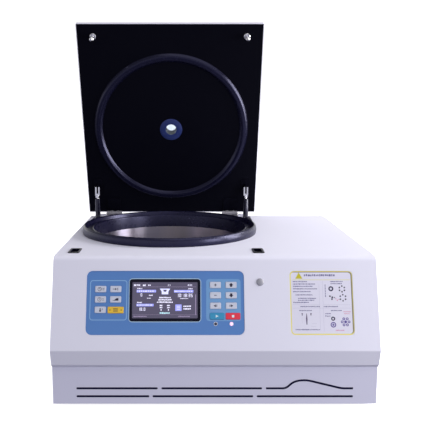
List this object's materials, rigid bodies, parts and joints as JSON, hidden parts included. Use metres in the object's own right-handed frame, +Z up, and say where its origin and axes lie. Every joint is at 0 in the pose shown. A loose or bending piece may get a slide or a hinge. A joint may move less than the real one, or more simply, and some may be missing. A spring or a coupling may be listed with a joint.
{
  "type": "laboratory centrifuge",
  "caption": "Benchtop refrigerated centrifuge with a swing-out rotor: slanted control panel, round sealed chamber, and a hinged lid held open by gas springs.",
  "frame": {"origin": "on the table, in the middle of the footprint of the machine with its lid open", "axes": "+Z up, -Y towards the user in front of the control panel, +X to the user's right"},
  "size_m": [0.6995, 0.6842, 0.8616],
  "materials": {
    "white_enamel": "satin",
    "zinc_steel": "satin",
    "foot_rubber": "matte",
    "screw_steel": "satin",
    "stainless": "satin",
    "copper": "satin",
    "foam": "matte",
    "gasket_rubber": "satin",
    "motor_paint": "satin",
    "rotor_alloy": "satin",
    "bucket_alloy": "satin",
    "fin_aluminium": "satin",
    "black_plastic": "satin",
    "panel_blue": "satin",
    "board_green": "satin",
    "display_glass": "gloss",
    "lamp_lens": "gloss",
    "white_plastic": "satin",
    "bright_steel": "polished",
    "liner_black": "satin",
    "sight_glass": "gloss",
    "hinge_steel": "satin",
    "bracket_black": "satin",
    "tube_black": "gloss",
    "key_grey": "satin",
    "key_yellow": "satin",
    "key_teal": "satin",
    "key_red": "satin"
  },
  "bodies": {
    "root": {"top_cover": "white_enamel", "left_side_panel": "white_enamel", "right_side_panel": "white_enamel", "front_skirt": "white_enamel", "rear_panel": "white_enamel", "base_pan": "zinc_steel", "feet": "foot_rubber", "casing_screws": "screw_steel", "inner_frame": "zinc_steel", "chamber_bowl": "stainless", "evaporator_coil": "copper", "bowl_insulation": "foam", "chamber_gasket": "gasket_rubber", "motor_body": "motor_paint", "motor_dampers": "foot_rubber", "compressor": "motor_paint", "condenser": "fin_aluminium", "inverter_unit": "fin_aluminium", "keypad_overlay": "panel_blue", "display_board": "board_green", "display_window": "display_glass", "indicator_lamps": "lamp_lens", "latch_sockets": "black_plastic", "hinge_bases": "hinge_steel", "hinge_pins": "screw_steel", "power_inlet": "black_plastic"},
    "lid": {"lid_shell": "white_enamel", "lid_liner": "liner_black", "sight_glass": "sight_glass", "latch_hooks": "bright_steel", "lid_hinge_arms": "hinge_steel", "strut_brackets": "bracket_black"},
    "gas_tubes": {"gas_spring_forks": "bright_steel", "gas_spring_tubes": "tube_black"},
    "gas_rods": {"gas_spring_rods": "bright_steel"},
    "latch_bar": {"latch_slide_bar": "zinc_steel"},
    "fan": {"fan_blades": "black_plastic"},
    "switch_rocker": {"power_switch": "black_plastic"},
    "plug": {"release_plug": "white_plastic"},
    "rotor": {"drive_shaft": "screw_steel", "rotor_head": "rotor_alloy", "rotor_nut": "screw_steel"},
    "bucket_1_body": {"bucket_1": "bucket_alloy"},
    "bucket_2_body": {"bucket_2": "bucket_alloy"},
    "bucket_3_body": {"bucket_3": "bucket_alloy"},
    "bucket_4_body": {"bucket_4": "bucket_alloy"},
    "key_menu_body": {"key_menu": "key_yellow"},
    "key_start_body": {"key_start": "key_teal"},
    "key_stop_body": {"key_stop": "key_red"},
    "key_speed_body": {"key_speed": "key_grey"},
    "key_time_body": {"key_time": "key_grey"},
    "key_temperature_body": {"key_temperature": "key_grey"},
    "key_force_body": {"key_force": "key_grey"},
    "key_ramp_body": {"key_ramp": "key_grey"},
    "key_plus_body": {"key_plus": "key_grey"},
    "key_minus_body": {"key_minus": "key_grey"},
    "key_left_body": {"key_left": "key_grey"},
    "key_up_body": {"key_up": "key_grey"},
    "key_down_body": {"key_down": "key_grey"},
    "key_right_body": {"key_right": "key_grey"}
  },
  "joints": [
    {"name": "lid_hinge", "type": "hinge", "parent": "root", "child": "lid", "pos_m": [-0.1048, 0.30246, 0.3304], "axis": [1, 0, 0], "range_deg": [0, 70.6]},
    {"name": "gas_tube_swing", "type": "hinge", "parent": "lid", "child": "gas_tubes", "pos_m": [-0.1048, 0.26848, 0.40643], "axis": [1, 0, 0], "range_deg": [-55.09, 0]},
    {"name": "gas_rod_slide", "type": "slide", "parent": "gas_tubes", "child": "gas_rods", "axis": [0, 0.0137, 0.9999], "range_m": [0, 0.07772]},
    {"name": "latch_slide", "type": "slide", "parent": "root", "child": "latch_bar", "axis": [1, 0, 0], "range_m": [0, 0.008]},
    {"name": "rotor_spin", "type": "hinge", "parent": "root", "child": "rotor", "pos_m": [-0.1048, 0.04326, 0.2352], "axis": [0, 0, 1], "continuous": true},
    {"name": "fan_spin", "type": "hinge", "parent": "root", "child": "fan", "pos_m": [0.24, 0.28306, 0.136], "axis": [0, 1, 0], "continuous": true},
    {"name": "switch_rock", "type": "hinge", "parent": "root", "child": "switch_rocker", "pos_m": [-0.262, 0.30456, 0.111], "axis": [1, 0, 0], "range_deg": [0, 18]},
    {"name": "plug_pull", "type": "slide", "parent": "root", "child": "plug", "axis": [0, -0.9409, 0.3386], "range_m": [0, 0.012]},
    {"name": "bucket_1_swing", "type": "hinge", "parent": "rotor", "child": "bucket_1_body", "pos_m": [-0.0098, 0.04326, 0.2352], "axis": [0, -1, 0], "range_deg": [0, 90]},
    {"name": "bucket_2_swing", "type": "hinge", "parent": "rotor", "child": "bucket_2_body", "pos_m": [-0.1048, 0.13826, 0.2352], "axis": [1, 0, 0], "range_deg": [0, 90]},
    {"name": "bucket_3_swing", "type": "hinge", "parent": "rotor", "child": "bucket_3_body", "pos_m": [-0.1998, 0.04326, 0.2352], "axis": [0, 1, 0], "range_deg": [0, 90]},
    {"name": "bucket_4_swing", "type": "hinge", "parent": "rotor", "child": "bucket_4_body", "pos_m": [-0.1048, -0.05174, 0.2352], "axis": [-1, 0, 0], "range_deg": [0, 90]},
    {"name": "key_menu_press", "type": "slide", "parent": "root", "child": "key_menu_body", "axis": [0, 0.9409, -0.3386], "range_m": [0, 0.0006], "stiffness_N_per_m": 700, "springref_m": -0.0008},
    {"name": "key_start_press", "type": "slide", "parent": "root", "child": "key_start_body", "axis": [0, 0.9409, -0.3386], "range_m": [0, 0.0006], "stiffness_N_per_m": 700, "springref_m": -0.0008},
    {"name": "key_stop_press", "type": "slide", "parent": "root", "child": "key_stop_body", "axis": [0, 0.9409, -0.3386], "range_m": [0, 0.0006], "stiffness_N_per_m": 700, "springref_m": -0.0008},
    {"name": "key_speed_press", "type": "slide", "parent": "root", "child": "key_speed_body", "axis": [0, 0.9409, -0.3386], "range_m": [0, 0.0006], "stiffness_N_per_m": 700, "springref_m": -0.0008},
    {"name": "key_time_press", "type": "slide", "parent": "root", "child": "key_time_body", "axis": [0, 0.9409, -0.3386], "range_m": [0, 0.0006], "stiffness_N_per_m": 700, "springref_m": -0.0008},
    {"name": "key_temperature_press", "type": "slide", "parent": "root", "child": "key_temperature_body", "axis": [0, 0.9409, -0.3386], "range_m": [0, 0.0006], "stiffness_N_per_m": 700, "springref_m": -0.0008},
    {"name": "key_force_press", "type": "slide", "parent": "root", "child": "key_force_body", "axis": [0, 0.9409, -0.3386], "range_m": [0, 0.0006], "stiffness_N_per_m": 700, "springref_m": -0.0008},
    {"name": "key_ramp_press", "type": "slide", "parent": "root", "child": "key_ramp_body", "axis": [0, 0.9409, -0.3386], "range_m": [0, 0.0006], "stiffness_N_per_m": 700, "springref_m": -0.0008},
    {"name": "key_plus_press", "type": "slide", "parent": "root", "child": "key_plus_body", "axis": [0, 0.9409, -0.3386], "range_m": [0, 0.0006], "stiffness_N_per_m": 700, "springref_m": -0.0008},
    {"name": "key_minus_press", "type": "slide", "parent": "root", "child": "key_minus_body", "axis": [0, 0.9409, -0.3386], "range_m": [0, 0.0006], "stiffness_N_per_m": 700, "springref_m": -0.0008},
    {"name": "key_left_press", "type": "slide", "parent": "root", "child": "key_left_body", "axis": [0, 0.9409, -0.3386], "range_m": [0, 0.0006], "stiffness_N_per_m": 700, "springref_m": -0.0008},
    {"name": "key_up_press", "type": "slide", "parent": "root", "child": "key_up_body", "axis": [0, 0.9409, -0.3386], "range_m": [0, 0.0006], "stiffness_N_per_m": 700, "springref_m": -0.0008},
    {"name": "key_down_press", "type": "slide", "parent": "root", "child": "key_down_body", "axis": [0, 0.9409, -0.3386], "range_m": [0, 0.0006], "stiffness_N_per_m": 700, "springref_m": -0.0008},
    {"name": "key_right_press", "type": "slide", "parent": "root", "child": "key_right_body", "axis": [0, 0.9409, -0.3386], "range_m": [0, 0.0006], "stiffness_N_per_m": 700, "springref_m": -0.0008}
  ],
  "couplings": [
    {"joint": "gas_tube_swing", "follows": "lid_hinge", "ratio": -0.77181},
    {"joint": "gas_rod_slide", "follows": "lid_hinge", "m_per_rad": 0.06226}
  ]
}
